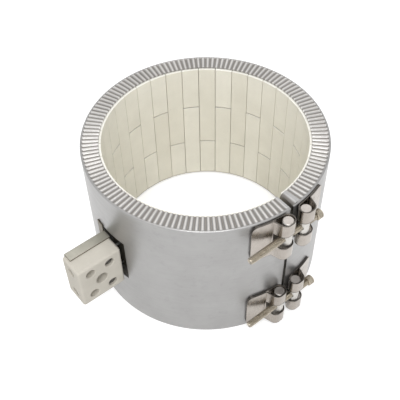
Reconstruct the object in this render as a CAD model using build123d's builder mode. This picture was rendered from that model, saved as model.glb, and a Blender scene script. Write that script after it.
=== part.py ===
import os
from math import asin, cos, degrees, radians, sin, sqrt, tan

from build123d import *

# Band, in millimetres: the bore axis is Z and the origin is the middle of the bore
bore_diameter = 150.0
band_height = 120.0
split_gap = 3.0

# Wall layers from the bore outwards
tile_thickness = 8.5
blanket_thickness = 5.2
shell_sheet = 0.6
layer_clearance = 0.2

# Ceramic tiles in brick bond
tile_columns = 35
tile_joint = 0.3
tile_end_clearance = 0.2

# Serrated flanges
flange_width = 13.8
flange_sheet = 1.0
fold_bevel = 1.0
groove_count = 137
groove_width = 2.3
groove_depth = 0.6
groove_fold_margin = 1.7
plain_end_left = 1.4
plain_end_right = 7.4

# Curled flap at the right end of each flange
flap_bend = 2.0
flap_depth = 13.0

# Terminal window and block
window_width = 27.2
window_height = 41.0
window_corner = 3.0
window_center_z = 0.8
block_length = 36.0
block_thickness = 20.4
block_height = 39.0
block_edge = 1.6
block_center_x = 5.2
block_center_z = -3.4
block_wall_clearance = 0.3
block_screw_hole = 7.2
block_center_hole = 9.4
block_center_depth = 12.0
wire_entry_diameter = 7.4
row_edge_margin = 7.8
screw_end_margin = 4.1
insert_width = 8.0
insert_length = 24.0
insert_bore = 4.6
insert_clearance = 0.1
terminal_screw_diameter = 4.0
terminal_screw_length = 4.8
driver_slot_width = 0.9
driver_slot_depth = 0.9
block_screw_diameter = 4.0
block_screw_head = 7.6
block_screw_head_height = 2.8
fixing_clearance = 0.15

# Terminal bracket
bracket_sheet = 1.0
bracket_bend = 1.8
bracket_foot = 6.4
bracket_foot_height = 43.0
bracket_lip = 8.6
bracket_reach = 33.6
bracket_seat = 0.1

# Lead wires
lead_diameter = 2.0
lead_grip = 6.0

# Clamps
clamp_end_margin = 1.45
strap_height = 35.5
strap_sheet = 0.8
strap_seat = 0.1
ply_gap = 0.2
plate_end_angle = 20.4
plate_corner = 3.0
loop_clearance = 0.3
loop_slack = 2.3
loop_reach = 9.0
window_share = 11.8
barrel_diameter = 8.0
barrel_spacing = 16.0
barrel_recess = 1.0

# Clamp screws
screw_diameter = 5.0
screw_thread_clearance = 0.05
screw_pass_clearance = 0.35
screw_head_diameter = 7.2
screw_head_length = 5.0
screw_length = 60.0
upper_head_gap = 7.0
lower_head_gap = 10.0
hex_key = 4.0
hex_depth = 2.4

# How far cutting shapes run past the metal
cut_overrun = 2.0

# Radii and angles that follow from the sizes above
full_turn = 360.0
half_height = band_height / 2
bore_r = bore_diameter / 2
end_margin = split_gap / 2 + flap_bend
tile_start = degrees(asin(end_margin / bore_r))
tile_pitch = (full_turn - 2 * tile_start) / tile_columns
tile_half = radians(tile_pitch / 2)
tile_back = bore_r + tile_thickness
tile_top = half_height - flange_sheet - tile_end_clearance
short_tile = (2 * tile_top - 2 * tile_joint) / 3
long_tile = 2 * short_tile + tile_joint
blanket_r_in = tile_back / cos(tile_half) + layer_clearance
blanket_r_out = blanket_r_in + blanket_thickness
shell_r_in = blanket_r_out + layer_clearance
shell_r = shell_r_in + shell_sheet
flange_r = shell_r - flange_width

# One tile's cross-section, with a hollow bore side and a flat back
tile_face_half = tile_pitch / 2 - degrees(tile_joint / 2 / bore_r)
tile_back_half = tile_back * tan(tile_half) - tile_joint / 2 / cos(tile_half)
with BuildSketch() as tile_section:
    with BuildLine():
        tile_arc = CenterArc((0, 0), bore_r, -tile_face_half, 2 * tile_face_half)
        Polyline(tile_arc @ 1, (tile_back, tile_back_half), (tile_back, -tile_back_half), tile_arc @ 0)
    make_face()

even_columns = (tile_columns + 1) // 2
odd_columns = tile_columns // 2
even_start = tile_start + tile_pitch / 2
odd_start = even_start + tile_pitch
even_range = 2 * tile_pitch * (even_columns - 1)
odd_range = 2 * tile_pitch * (odd_columns - 1)

# Half-length tiles at the top of every second column
with BuildPart() as short_tiles_top:
    with BuildSketch(Plane.XY.offset(tile_top - short_tile)):
        with PolarLocations(0, even_columns, even_start, even_range, endpoint=True):
            add(tile_section.sketch)
    extrude(amount=short_tile)
short_tiles_top.part.label = "short_tiles_top"

# Full-length tiles under them
with BuildPart() as long_tiles_bottom:
    with BuildSketch(Plane.XY.offset(-tile_top)):
        with PolarLocations(0, even_columns, even_start, even_range, endpoint=True):
            add(tile_section.sketch)
    extrude(amount=long_tile)
long_tiles_bottom.part.label = "long_tiles_bottom"

# Full-length tiles at the top of the columns between
with BuildPart() as long_tiles_top:
    with BuildSketch(Plane.XY.offset(tile_top - long_tile)):
        with PolarLocations(0, odd_columns, odd_start, odd_range, endpoint=True):
            add(tile_section.sketch)
    extrude(amount=long_tile)
long_tiles_top.part.label = "long_tiles_top"

# Half-length tiles under those
with BuildPart() as short_tiles_bottom:
    with BuildSketch(Plane.XY.offset(-tile_top)):
        with PolarLocations(0, odd_columns, odd_start, odd_range, endpoint=True):
            add(tile_section.sketch)
    extrude(amount=short_tile)
short_tiles_bottom.part.label = "short_tiles_bottom"

# Terminal places: the block stands out along -Y and its holed face looks along +X
block_x0 = block_center_x - block_thickness / 2
block_x1 = block_center_x + block_thickness / 2
block_y0 = -(shell_r + block_wall_clearance)
block_y1 = block_y0 - block_length
block_mid_y = (block_y0 + block_y1) / 2
block_z0 = block_center_z - block_height / 2
block_z1 = block_center_z + block_height / 2
screw_spacing = insert_length - 2 * screw_end_margin
row_spacing = block_height - 2 * row_edge_margin
row_upper = block_center_z + row_spacing / 2
row_lower = block_center_z - row_spacing / 2
bracket_x0 = block_x0 - bracket_seat - bracket_sheet
bracket_x1 = block_x0 - bracket_seat
window_x0 = bracket_x1
window_center_x = window_x0 + window_width / 2

# Fibre blanket, open at the split and behind the terminal window
with BuildPart() as insulation_blanket:
    with BuildSketch(Plane.XY.offset(-tile_top)):
        Circle(blanket_r_out)
        Circle(blanket_r_in, mode=Mode.SUBTRACT)
        with Locations((blanket_r_out / 2, 0)):
            Rectangle(blanket_r_out + cut_overrun, 2 * end_margin, mode=Mode.SUBTRACT)
    extrude(amount=2 * tile_top)
    with BuildSketch(Plane.XZ):
        with Locations((window_center_x, window_center_z)):
            Rectangle(window_width, window_height)
    extrude(amount=shell_r, mode=Mode.SUBTRACT)
insulation_blanket.part.label = "insulation_blanket"

# Folded shell: wall and two inward flanges, turned from one channel profile
groove_zone_left = degrees(asin((split_gap / 2 + plain_end_left) / shell_r))
groove_zone_right = degrees(asin((split_gap / 2 + plain_end_right) / shell_r))
groove_zone = full_turn - groove_zone_left - groove_zone_right
groove_pitch = groove_zone / groove_count
groove_start = groove_zone_right + groove_pitch / 2
groove_range = groove_pitch * (groove_count - 1)
groove_end_r = shell_r - fold_bevel - groove_fold_margin
rim_trim = 1.0
groove_length = groove_end_r - flange_r + rim_trim
flap_y = split_gap / 2

# One pressed serration of the upper flange, a V that runs inwards from the fold
with BuildPart() as flange_groove:
    with BuildSketch(Plane.YZ.offset(groove_end_r)):
        with BuildLine():
            Polyline(
                (-groove_width / 2, half_height),
                (groove_width / 2, half_height),
                (0, half_height - groove_depth),
                close=True,
            )
        make_face()
    extrude(amount=-groove_length)

# The upper flange's inner edge runs straight from one serration to the next
rim_angles = [radians(groove_start + step * groove_pitch) for step in range(groove_count)]
rim_points = [(flange_r * cos(angle), flange_r * sin(angle)) for angle in rim_angles]
rim_end_points = [(flange_r, -flap_y), (flange_r, flap_y + flap_bend)]
with BuildSketch() as flange_opening:
    with BuildLine():
        Polyline(*rim_points, *rim_end_points, close=True)
    make_face()

with BuildPart() as outer_shell:
    with BuildSketch(Plane.XZ):
        with BuildLine():
            Polyline(
                (flange_r - rim_trim, half_height),
                (shell_r, half_height),
                (shell_r, -half_height),
                (flange_r, -half_height),
                (flange_r, -half_height + flange_sheet),
                (shell_r_in, -half_height + flange_sheet),
                (shell_r_in, half_height - flange_sheet),
                (flange_r - rim_trim, half_height - flange_sheet),
                close=True,
            )
        profile_face = make_face()
        fold_corners = profile_face.vertices().filter_by_position(Axis.X, shell_r - 0.01, shell_r + 0.01)
        chamfer(fold_corners, fold_bevel)
    revolve(axis=Axis.Z)
    with BuildSketch(Plane.XY.offset(half_height)):
        add(flange_opening.sketch)
    extrude(amount=-flange_sheet, mode=Mode.SUBTRACT)
    # the split, a straight cut through one side
    with BuildSketch(Plane.XY.offset(-half_height)):
        with Locations((shell_r / 2, 0)):
            Rectangle(shell_r + cut_overrun, split_gap)
    extrude(amount=band_height, mode=Mode.SUBTRACT)
    # the right ends of both flanges make room for the curled flaps
    with BuildSketch(Plane.XY.offset(half_height)):
        with Locations(((flange_r + shell_r_in - cut_overrun) / 2, flap_y + flap_bend / 2)):
            Rectangle(shell_r_in - flange_r + cut_overrun, flap_bend)
    extrude(amount=-flange_sheet, mode=Mode.SUBTRACT)
    with BuildSketch(Plane.XY.offset(-half_height)):
        with Locations(((flange_r + shell_r_in - cut_overrun) / 2, flap_y + flap_bend / 2)):
            Rectangle(shell_r_in - flange_r + cut_overrun, flap_bend)
    extrude(amount=flange_sheet, mode=Mode.SUBTRACT)
    # curled flaps
    with BuildSketch(Plane.YZ.offset(flange_r)) as flap_profile:
        with BuildLine():
            Polyline(
                (flap_y, half_height - flap_depth),
                (flap_y, half_height - flap_bend),
            )
            RadiusArc((flap_y, half_height - flap_bend), (flap_y + flap_bend, half_height), flap_bend)
            Polyline(
                (flap_y + flap_bend, half_height),
                (flap_y + flap_bend, half_height - flange_sheet),
            )
            RadiusArc(
                (flap_y + flap_bend, half_height - flange_sheet),
                (flap_y + flange_sheet, half_height - flap_bend),
                -(flap_bend - flange_sheet),
            )
            Polyline(
                (flap_y + flange_sheet, half_height - flap_bend),
                (flap_y + flange_sheet, half_height - flap_depth),
                (flap_y, half_height - flap_depth),
            )
        make_face()
        mirror(about=Plane.XZ)
    extrude(amount=shell_r_in - flange_r + shell_sheet / 2)
    # window for the terminal
    with BuildSketch(Plane.XZ):
        with Locations((window_center_x, window_center_z)):
            RectangleRounded(window_width, window_height, window_corner)
    extrude(amount=shell_r + cut_overrun, mode=Mode.SUBTRACT)
    # serrations pressed into the upper flange, open at the inner edge
    with PolarLocations(0, groove_count, groove_start, groove_range, endpoint=True):
        add(flange_groove.part, mode=Mode.SUBTRACT)
outer_shell.part.label = "outer_shell"

# Bracket folded from one sheet: foot on the shell, back plate, lip over the block
bracket_y0 = -(shell_r + bracket_seat)
bracket_y1 = bracket_y0 - bracket_reach
bracket_top = block_z1 + bracket_seat + bracket_sheet
bracket_bottom = block_z0
foot_z0 = window_center_z - bracket_foot_height / 2
foot_angle_0 = degrees(asin(bracket_x1 / shell_r))
foot_angle_1 = degrees(asin((bracket_x0 - bracket_foot) / shell_r))
foot_r0 = shell_r + bracket_seat
foot_r1 = foot_r0 + bracket_sheet
with BuildPart() as terminal_bracket:
    # foot, bent to the shell
    with BuildSketch(Plane.XY.offset(foot_z0)):
        with BuildLine():
            foot_in = CenterArc((0, 0), foot_r0, -90 + foot_angle_1, foot_angle_0 - foot_angle_1)
            foot_out = CenterArc((0, 0), foot_r1, -90 + foot_angle_1, foot_angle_0 - foot_angle_1)
            Line(foot_in @ 0, foot_out @ 0)
            Line(foot_in @ 1, foot_out @ 1)
        make_face()
    extrude(amount=bracket_foot_height)
    # back plate and lip
    with BuildSketch(Plane.XZ.offset(-bracket_y0)):
        with BuildLine():
            Polyline(
                (bracket_x0, bracket_bottom),
                (bracket_x0, bracket_top),
                (bracket_x0 + bracket_lip, bracket_top),
                (bracket_x0 + bracket_lip, bracket_top - bracket_sheet),
                (bracket_x1, bracket_top - bracket_sheet),
                (bracket_x1, bracket_bottom),
                close=True,
            )
        bracket_face = make_face()
        bend_corner = bracket_face.vertices().group_by(Axis.X)[0].sort_by(Axis.Z)[-1]
        fillet(bend_corner, bracket_bend)
    extrude(amount=bracket_reach)
    # hole for the block's fixing screw
    with BuildSketch(Plane.YZ.offset(bracket_x0)):
        with Locations((block_mid_y, block_center_z)):
            Circle(block_screw_diameter / 2 + fixing_clearance)
    extrude(amount=bracket_sheet, mode=Mode.SUBTRACT)
terminal_bracket.part.label = "terminal_bracket"

# Ceramic block with connector bores, screw holes, a fixing hole and lead entries
insert_y0 = block_mid_y + insert_length / 2
insert_y1 = block_mid_y - insert_length / 2
screw_y_inner = block_mid_y + screw_spacing / 2
screw_y_outer = block_mid_y - screw_spacing / 2
with BuildPart() as terminal_block:
    with BuildSketch(Plane.YZ.offset(block_x0)):
        with Locations((block_mid_y, block_center_z)):
            Rectangle(block_length, block_height)
    extrude(amount=block_thickness)
    face_edges = terminal_block.faces().sort_by(Axis.X)[-1].edges()
    chamfer(face_edges, block_edge / 2)
    # connector pockets, open on the shell's side, and wire entries in the far end
    with BuildSketch(Plane.XZ.offset(-block_y0)):
        with Locations((block_center_x, row_upper), (block_center_x, row_lower)):
            Rectangle(insert_width + 2 * insert_clearance, insert_width + 2 * insert_clearance)
    extrude(amount=block_y0 - insert_y1 + insert_clearance, mode=Mode.SUBTRACT)
    with BuildSketch(Plane.XZ.offset(-insert_y1)):
        with Locations((block_center_x, row_upper), (block_center_x, row_lower)):
            Circle(wire_entry_diameter / 2)
    extrude(amount=insert_y1 - block_y1, mode=Mode.SUBTRACT)
    # screw holes down to the connectors
    with BuildSketch(Plane.YZ.offset(block_center_x)):
        with GridLocations(screw_spacing, row_spacing, 2, 2):
            with Locations((block_mid_y, block_center_z)):
                Circle(block_screw_hole / 2)
    extrude(amount=block_thickness / 2, mode=Mode.SUBTRACT)
    # fixing hole, stepped for the screw head
    with BuildSketch(Plane.YZ.offset(block_x1)):
        with Locations((block_mid_y, block_center_z)):
            Circle(block_center_hole / 2)
    extrude(amount=-block_center_depth, mode=Mode.SUBTRACT)
    with BuildSketch(Plane.YZ.offset(block_x0)):
        with Locations((block_mid_y, block_center_z)):
            Circle(block_screw_diameter / 2 + fixing_clearance)
    extrude(amount=block_thickness, mode=Mode.SUBTRACT)
terminal_block.part.label = "terminal_block"

# Square connector tubes
screw_seat_hole = terminal_screw_diameter / 2 + fixing_clearance
with BuildPart() as terminal_insert_upper:
    with BuildSketch(Plane.XZ.offset(-insert_y0)):
        with Locations((block_center_x, row_upper)):
            Rectangle(insert_width, insert_width)
            Rectangle(insert_bore, insert_bore, mode=Mode.SUBTRACT)
    extrude(amount=insert_length)
    with BuildSketch(Plane.YZ.offset(block_center_x)):
        with Locations((screw_y_inner, row_upper), (screw_y_outer, row_upper)):
            Circle(screw_seat_hole)
    extrude(amount=insert_width, mode=Mode.SUBTRACT)
terminal_insert_upper.part.label = "terminal_insert_upper"

with BuildPart() as terminal_insert_lower:
    with BuildSketch(Plane.XZ.offset(-insert_y0)):
        with Locations((block_center_x, row_lower)):
            Rectangle(insert_width, insert_width)
            Rectangle(insert_bore, insert_bore, mode=Mode.SUBTRACT)
    extrude(amount=insert_length)
    with BuildSketch(Plane.YZ.offset(block_center_x)):
        with Locations((screw_y_inner, row_lower), (screw_y_outer, row_lower)):
            Circle(screw_seat_hole)
    extrude(amount=insert_width, mode=Mode.SUBTRACT)
terminal_insert_lower.part.label = "terminal_insert_lower"

# Terminal screws; the outer pair is driven in, the inner pair grips the leads
terminal_tip_x = block_center_x + lead_diameter / 2 + fixing_clearance
with BuildPart() as terminal_screws:
    with BuildSketch(Plane.YZ.offset(terminal_tip_x)):
        with Locations((block_mid_y, block_center_z)):
            with GridLocations(screw_spacing, row_spacing, 2, 2):
                Circle(terminal_screw_diameter / 2)
    extrude(amount=terminal_screw_length)
terminal_screws.part.label = "terminal_screws"

# Screw that holds the block to the bracket
block_screw_seat = block_x1 - block_center_depth
with BuildPart() as block_screw:
    with BuildSketch(Plane.YZ.offset(bracket_x0)):
        with Locations((block_mid_y, block_center_z)):
            Circle(block_screw_diameter / 2)
    extrude(amount=block_screw_seat + fixing_clearance - bracket_x0)
    with BuildSketch(Plane.YZ.offset(block_screw_seat + fixing_clearance)):
        with Locations((block_mid_y, block_center_z)):
            Circle(block_screw_head / 2)
    extrude(amount=block_screw_head_height)
    with BuildSketch(Plane.YZ.offset(block_screw_seat + fixing_clearance + block_screw_head_height)):
        with Locations((block_mid_y, block_center_z)):
            Rectangle(block_screw_head + cut_overrun, driver_slot_width)
    extrude(amount=-driver_slot_depth, mode=Mode.SUBTRACT)
block_screw.part.label = "block_screw"

# Two leads from the backs of the tiles into the connectors
lead_y0 = -(tile_back / cos(tile_half) + layer_clearance)
lead_y1 = insert_y0 - lead_grip
with BuildPart() as lead_wires:
    with BuildSketch(Plane.XZ.offset(-lead_y0)):
        with Locations((block_center_x, row_upper), (block_center_x, row_lower)):
            Circle(lead_diameter / 2)
    extrude(amount=lead_y0 - lead_y1)
lead_wires.part.label = "lead_wires"

# Clamp strap section: inner ply on the shell, loop round the barrel, outer ply back over it
strap_r0 = shell_r + strap_seat
strap_r1 = strap_r0 + strap_sheet
strap_r2 = strap_r1 + ply_gap
strap_r3 = strap_r2 + strap_sheet
barrel_r = barrel_diameter / 2
barrel_y = barrel_spacing / 2
barrel_radial = strap_r1 + loop_clearance + barrel_r
barrel_x = sqrt(barrel_radial**2 - barrel_y**2)
barrel_angle = degrees(asin(barrel_y / barrel_radial))
loop_r = barrel_r + loop_clearance
neck_y = barrel_y + loop_reach
neck_r = (strap_r1 + strap_r2) / 2
neck_x = sqrt(neck_r**2 - neck_y**2)
neck_angle = degrees(asin(neck_y / neck_r))
with BuildSketch() as loop_outside:
    with Locations((barrel_x, barrel_y), (barrel_x, barrel_y + loop_slack)):
        Circle(loop_r + strap_sheet)
    with Locations((neck_x, neck_y)):
        Circle(ply_gap / 2 + strap_sheet)
    make_hull()
with BuildSketch() as loop_inside:
    with Locations((barrel_x, barrel_y), (barrel_x, barrel_y + loop_slack)):
        Circle(loop_r)
    with Locations((neck_x, neck_y)):
        Rectangle(ply_gap, ply_gap, rotation=neck_angle)
    make_hull()
with BuildSketch() as strap_right_section:
    add(loop_outside.sketch)
    add(loop_inside.sketch, mode=Mode.SUBTRACT)
    with BuildLine():
        ply_in_a = CenterArc((0, 0), strap_r0, barrel_angle, plate_end_angle - barrel_angle)
        ply_in_b = CenterArc((0, 0), strap_r1, barrel_angle, plate_end_angle - barrel_angle)
        Line(ply_in_a @ 0, ply_in_b @ 0)
        Line(ply_in_a @ 1, ply_in_b @ 1)
    make_face()
    with BuildLine():
        ply_out_a = CenterArc((0, 0), strap_r2, neck_angle, plate_end_angle - neck_angle)
        ply_out_b = CenterArc((0, 0), strap_r3, neck_angle, plate_end_angle - neck_angle)
        Line(ply_out_a @ 0, ply_out_b @ 0)
        Line(ply_out_a @ 1, ply_out_b @ 1)
    make_face()
    Circle(strap_r0, mode=Mode.SUBTRACT)
with BuildSketch() as strap_left_section:
    mirror(strap_right_section.sketch, about=Plane.XZ)

# The loop's middle third is open for the screw
opening_x0 = strap_r3
opening_x1 = barrel_x + loop_r + strap_sheet + cut_overrun
opening_y0 = 0.0
opening_y1 = neck_y + loop_r
opening_mid_x = (opening_x0 + opening_x1) / 2
opening_mid_y = (opening_y0 + opening_y1) / 2
clamp_offset = half_height - clamp_end_margin - strap_height / 2
upper_z = clamp_offset
lower_z = -clamp_offset

plate_end_y = strap_r0 * sin(radians(plate_end_angle))


def on_ply_end(edge):
    across_sheet = abs(edge.length - strap_sheet) < strap_sheet / 10
    return across_sheet and abs(edge.center().Y) > plate_end_y - strap_sheet / 10


strap_planes = [Plane.XY.offset(z - strap_height / 2) for z in (upper_z, lower_z)]
opening_planes = [Plane.XY.offset(z - window_share / 2) for z in (upper_z, lower_z)]
with BuildPart() as straps_right:
    with BuildSketch(*strap_planes):
        add(strap_right_section.sketch)
    extrude(amount=strap_height)
    with BuildSketch(*opening_planes):
        with Locations((opening_mid_x, opening_mid_y)):
            Rectangle(opening_x1 - opening_x0, opening_y1 - opening_y0)
    extrude(amount=window_share, mode=Mode.SUBTRACT)
    ply_edges = straps_right.edges().filter_by(GeomType.LINE).filter_by(on_ply_end)
    chamfer(ply_edges, plate_corner)
straps_right.part.label = "straps_right"

with BuildPart() as straps_left:
    with BuildSketch(*strap_planes):
        add(strap_left_section.sketch)
    extrude(amount=strap_height)
    with BuildSketch(*opening_planes):
        with Locations((opening_mid_x, -opening_mid_y)):
            Rectangle(opening_x1 - opening_x0, opening_y1 - opening_y0)
    extrude(amount=window_share, mode=Mode.SUBTRACT)
    ply_edges = straps_left.edges().filter_by(GeomType.LINE).filter_by(on_ply_end)
    chamfer(ply_edges, plate_corner)
straps_left.part.label = "straps_left"

# Barrel pins: threaded on the left, plain under the screw heads on the right
barrel_length = strap_height - 2 * barrel_recess
thread_hole_r = screw_diameter / 2 + screw_thread_clearance
pass_hole_r = screw_diameter / 2 + screw_pass_clearance
with BuildPart() as nut_barrel_upper:
    with BuildSketch(Plane.XY.offset(upper_z - barrel_length / 2)):
        with Locations((barrel_x, -barrel_y)):
            Circle(barrel_r)
    extrude(amount=barrel_length)
    with BuildSketch(Plane.XZ.offset(barrel_y - barrel_r)):
        with Locations((barrel_x, upper_z)):
            Circle(thread_hole_r)
    extrude(amount=barrel_diameter, mode=Mode.SUBTRACT)
nut_barrel_upper.part.label = "nut_barrel_upper"

with BuildPart() as nut_barrel_lower:
    with BuildSketch(Plane.XY.offset(lower_z - barrel_length / 2)):
        with Locations((barrel_x, -barrel_y)):
            Circle(barrel_r)
    extrude(amount=barrel_length)
    with BuildSketch(Plane.XZ.offset(barrel_y - barrel_r)):
        with Locations((barrel_x, lower_z)):
            Circle(thread_hole_r)
    extrude(amount=barrel_diameter, mode=Mode.SUBTRACT)
nut_barrel_lower.part.label = "nut_barrel_lower"

barrel_planes = [Plane.XY.offset(z - barrel_length / 2) for z in (upper_z, lower_z)]
with BuildPart() as plain_barrels:
    with BuildSketch(*barrel_planes):
        with Locations((barrel_x, barrel_y)):
            Circle(barrel_r)
    extrude(amount=barrel_length)
    with BuildSketch(Plane.XZ.offset(-barrel_y - barrel_r)):
        with Locations((barrel_x, upper_z), (barrel_x, lower_z)):
            Circle(pass_hole_r)
    extrude(amount=barrel_diameter, mode=Mode.SUBTRACT)
plain_barrels.part.label = "plain_barrels"

# Clamp screws along Y, head on the right, free threaded end on the left
upper_head_y = barrel_y + barrel_r + upper_head_gap
lower_head_y = barrel_y + barrel_r + lower_head_gap
with BuildPart() as clamp_screw_upper:
    with BuildSketch(Plane.XZ.offset(-upper_head_y)):
        with Locations((barrel_x, upper_z)):
            Circle(screw_diameter / 2)
    extrude(amount=screw_length)
    with BuildSketch(Plane.XZ.offset(-upper_head_y - screw_head_length)):
        with Locations((barrel_x, upper_z)):
            Circle(screw_head_diameter / 2)
    extrude(amount=screw_head_length)
    with BuildSketch(Plane.XZ.offset(-upper_head_y - screw_head_length)):
        with Locations((barrel_x, upper_z)):
            RegularPolygon(hex_key / 2, 6, major_radius=False)
    extrude(amount=hex_depth, mode=Mode.SUBTRACT)
clamp_screw_upper.part.label = "clamp_screw_upper"

with BuildPart() as clamp_screw_lower:
    with BuildSketch(Plane.XZ.offset(-lower_head_y)):
        with Locations((barrel_x, lower_z)):
            Circle(screw_diameter / 2)
    extrude(amount=screw_length)
    with BuildSketch(Plane.XZ.offset(-lower_head_y - screw_head_length)):
        with Locations((barrel_x, lower_z)):
            Circle(screw_head_diameter / 2)
    extrude(amount=screw_head_length)
    with BuildSketch(Plane.XZ.offset(-lower_head_y - screw_head_length)):
        with Locations((barrel_x, lower_z)):
            RegularPolygon(hex_key / 2, 6, major_radius=False)
    extrude(amount=hex_depth, mode=Mode.SUBTRACT)
clamp_screw_lower.part.label = "clamp_screw_lower"

os.makedirs("parts", exist_ok=True)
export_step(outer_shell.part, "parts/outer_shell.step")
export_step(insulation_blanket.part, "parts/insulation_blanket.step")
export_step(short_tiles_top.part, "parts/short_tiles_top.step")
export_step(long_tiles_bottom.part, "parts/long_tiles_bottom.step")
export_step(long_tiles_top.part, "parts/long_tiles_top.step")
export_step(short_tiles_bottom.part, "parts/short_tiles_bottom.step")
export_step(lead_wires.part, "parts/lead_wires.step")
export_step(terminal_bracket.part, "parts/terminal_bracket.step")
export_step(terminal_block.part, "parts/terminal_block.step")
export_step(terminal_insert_upper.part, "parts/terminal_insert_upper.step")
export_step(terminal_insert_lower.part, "parts/terminal_insert_lower.step")
export_step(terminal_screws.part, "parts/terminal_screws.step")
export_step(block_screw.part, "parts/block_screw.step")
export_step(straps_left.part, "parts/straps_left.step")
export_step(straps_right.part, "parts/straps_right.step")
export_step(nut_barrel_upper.part, "parts/nut_barrel_upper.step")
export_step(nut_barrel_lower.part, "parts/nut_barrel_lower.step")
export_step(plain_barrels.part, "parts/plain_barrels.step")
export_step(clamp_screw_upper.part, "parts/clamp_screw_upper.step")
export_step(clamp_screw_lower.part, "parts/clamp_screw_lower.step")
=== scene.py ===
import math

import bmesh
import bpy
from mathutils import Matrix, Vector


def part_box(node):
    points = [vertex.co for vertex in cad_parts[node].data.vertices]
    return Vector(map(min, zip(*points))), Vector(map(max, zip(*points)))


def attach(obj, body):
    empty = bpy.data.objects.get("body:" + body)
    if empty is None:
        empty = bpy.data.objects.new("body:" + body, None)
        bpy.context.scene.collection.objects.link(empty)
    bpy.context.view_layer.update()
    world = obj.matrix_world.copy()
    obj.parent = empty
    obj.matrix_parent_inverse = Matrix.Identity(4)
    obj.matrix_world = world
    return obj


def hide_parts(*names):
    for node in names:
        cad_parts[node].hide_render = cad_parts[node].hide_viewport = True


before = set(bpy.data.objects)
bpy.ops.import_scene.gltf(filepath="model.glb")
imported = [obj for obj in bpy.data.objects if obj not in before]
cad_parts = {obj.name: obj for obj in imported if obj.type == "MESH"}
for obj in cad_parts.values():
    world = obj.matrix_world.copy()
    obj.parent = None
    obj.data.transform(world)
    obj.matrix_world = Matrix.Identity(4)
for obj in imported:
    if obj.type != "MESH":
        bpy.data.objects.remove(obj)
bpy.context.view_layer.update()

MM = 0.001
TURN = 2 * math.pi
QUARTER = math.pi / 2

# Places and sizes read from the frame
shell_low, shell_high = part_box("outer_shell")
SHELL_R = -shell_low.x
HALF_HEIGHT = shell_high.z
block_low, block_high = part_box("terminal_block")
block_mid = (block_low + block_high) / 2
bracket_low, bracket_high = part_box("terminal_bracket")
_, strap_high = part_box("straps_right")
nut_low, nut_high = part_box("nut_barrel_upper")
BARREL_R = (nut_high.x - nut_low.x) / 2
BARREL_X = (nut_low.x + nut_high.x) / 2
BARREL_Y = -(nut_low.y + nut_high.y) / 2
BARREL_HALF = (nut_high.z - nut_low.z) / 2
CLAMP_Z = (nut_low.z + nut_high.z) / 2
CLAMP_LEVELS = (CLAMP_Z, -CLAMP_Z)
STRAP_HALF = strap_high.z - CLAMP_Z

# Folded shell
SHEET = 0.5 * MM
SPLIT_GAP = 3.0 * MM
FOLD_RADIUS = 1.0 * MM
FOLD_STEPS = 6
FOLD_START = SHELL_R - FOLD_RADIUS
WALL_ROW = 0.7 * HALF_HEIGHT
FLANGE_WIDTH = 13.4 * MM
FLANGE_R = SHELL_R - FLANGE_WIDTH
FLANGE_ROWS_MM = (0.25, 0.5, 0.75, 1.0, 1.5, 2.5, 4.5, 7.0, 9.5, 11.4)
FLANGE_EDGE_WIDTH = 0.25 * MM
FLANGE_EDGE_DROP = 0.15 * MM
GROOVE_COUNT = 137
GROOVE_STEPS = 8
GROOVE_DEPTH = 0.68 * MM
GROOVE_FOLD_MARGIN = 0.2 * MM
GROOVE_END_ROUND = 0.8 * MM
RIDGE_LEVEL = 0.5
VALLEY_LEVEL = -0.8
PLAIN_END_LEFT = 1.4 * MM
PLAIN_END_RIGHT = 6.4 * MM
FLAP_BEND = 4.4 * MM
FLAP_BEND_STEPS = 8
FLAP_DEPTH = 13.0 * MM
FLAP_ROWS = (0.35, 0.7, 1.0)
FLAP_COLUMNS = 6
FLAP_SHADE_DROP = 0.8 * MM
WINDOW_WIDTH = 22.4 * MM
WINDOW_HEIGHT = 41.0 * MM
WINDOW_Z = 0.8 * MM
WINDOW_LOW = WINDOW_Z - WINDOW_HEIGHT / 2
WINDOW_HIGH = WINDOW_Z + WINDOW_HEIGHT / 2
WINDOW_PLAY = 0.1 * MM

# Marks that the meshes carry for the materials, which paint highlight and shade by them
PLAIN_MARK = 0.5
CREASE_SHADE_MARK = 0.25
FOOT_SHADE_MARK = 0.9

# Tiles
BORE_R = 75.0 * MM
TILE_THICKNESS = 8.5 * MM
TILE_COLUMNS = 35
TILE_JOINT = 0.3 * MM
TILE_COURSE_TRIM = 0.22 * MM
TILE_SEAT_PLAY = 0.12 * MM
# Heights of painted shade on the tiles' lower ends, at the joints and at the rim
TILE_END_SHADE = 0.5 * MM
RIM_SHADE = 1.6 * MM
TILE_ROUND = 0.35 * MM
TILE_ROUND_PROFILE = 0.6
TILE_SHARP = math.radians(40)
TILE_FACE_STEPS = 4
TILE_END_MARGIN = 3.5 * MM
SHADE_REACH = 1.1 * TILE_ROUND
HIGHLIGHT_REACH = 0.9 * TILE_ROUND
BACK_REACH = 2 * TILE_ROUND
SEAT_SEED = 7.0
TONE_SEED = 13.0
# Node, first column, tiles, seed, and height of the lower end with painted shade
TILE_COURSES = (
    ("short_tiles_top", 0, (TILE_COLUMNS + 1) // 2, 3, TILE_END_SHADE),
    ("long_tiles_bottom", 0, (TILE_COLUMNS + 1) // 2, 11, RIM_SHADE),
    ("long_tiles_top", 1, TILE_COLUMNS // 2, 19, TILE_END_SHADE),
    ("short_tiles_bottom", 1, TILE_COLUMNS // 2, 29, RIM_SHADE),
)

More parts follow.
